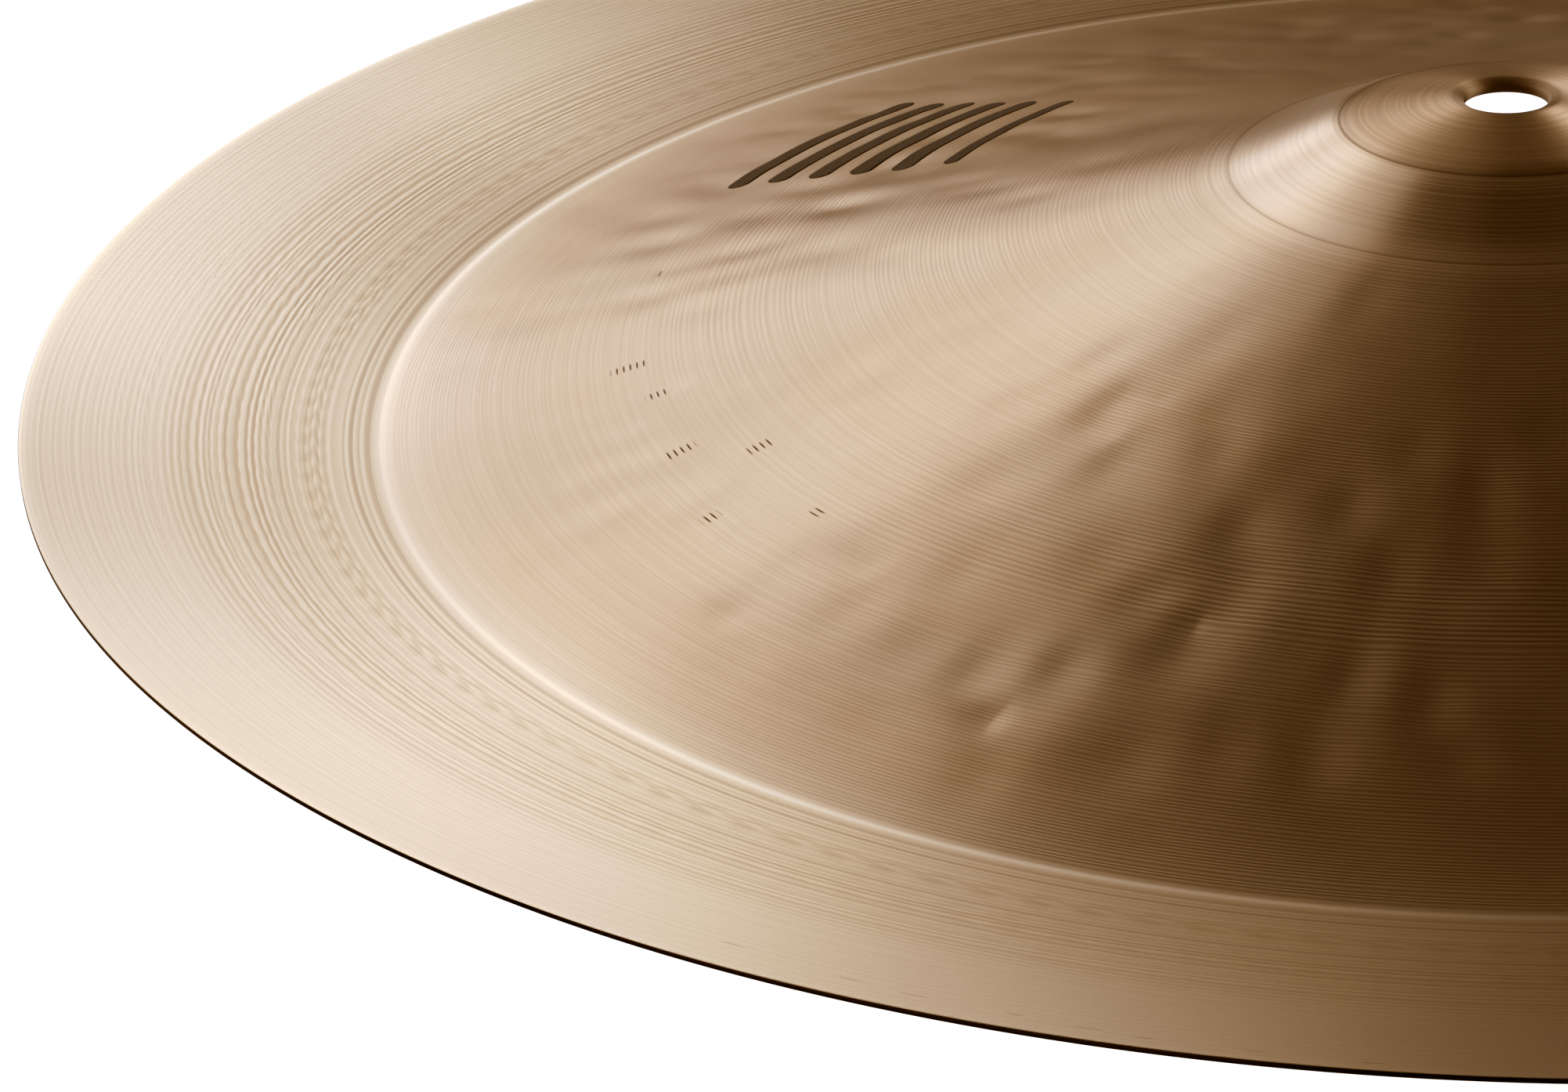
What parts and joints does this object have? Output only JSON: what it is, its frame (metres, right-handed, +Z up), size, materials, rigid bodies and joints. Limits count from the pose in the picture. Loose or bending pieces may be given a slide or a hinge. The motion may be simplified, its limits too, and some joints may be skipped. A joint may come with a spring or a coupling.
{
  "type": "china-type cymbal",
  "caption": "Thin bronze cymbal with a squat bell, a hammered and lathed bow, a fold ring and an upturned flange, with a plain mounting hole and plain printed bars.",
  "frame": {"origin": "on the axis of symmetry, at the height of the lowest point of the fold ring, which is what the cymbal rests on with its bell up", "axes": "+Z up along the axis of symmetry, out of the top of the bell; +X and +Y across the rim, with the printed bars in the quarter between -X and +Y"},
  "size_m": [0.4826, 0.4826, 0.0454],
  "materials": {
    "bronze": "cast bronze, hammered and lathed in fine concentric grooves, clear satin",
    "ink": "thin matte black screen-printed ink"
  },
  "bodies": {
    "root": {"bronze_cymbal": "bronze", "ink_bar_1": "ink", "ink_bar_2": "ink", "ink_bar_3": "ink", "ink_bar_4": "ink", "ink_bar_5": "ink", "ink_line": "ink"}
  },
  "joints": []
}
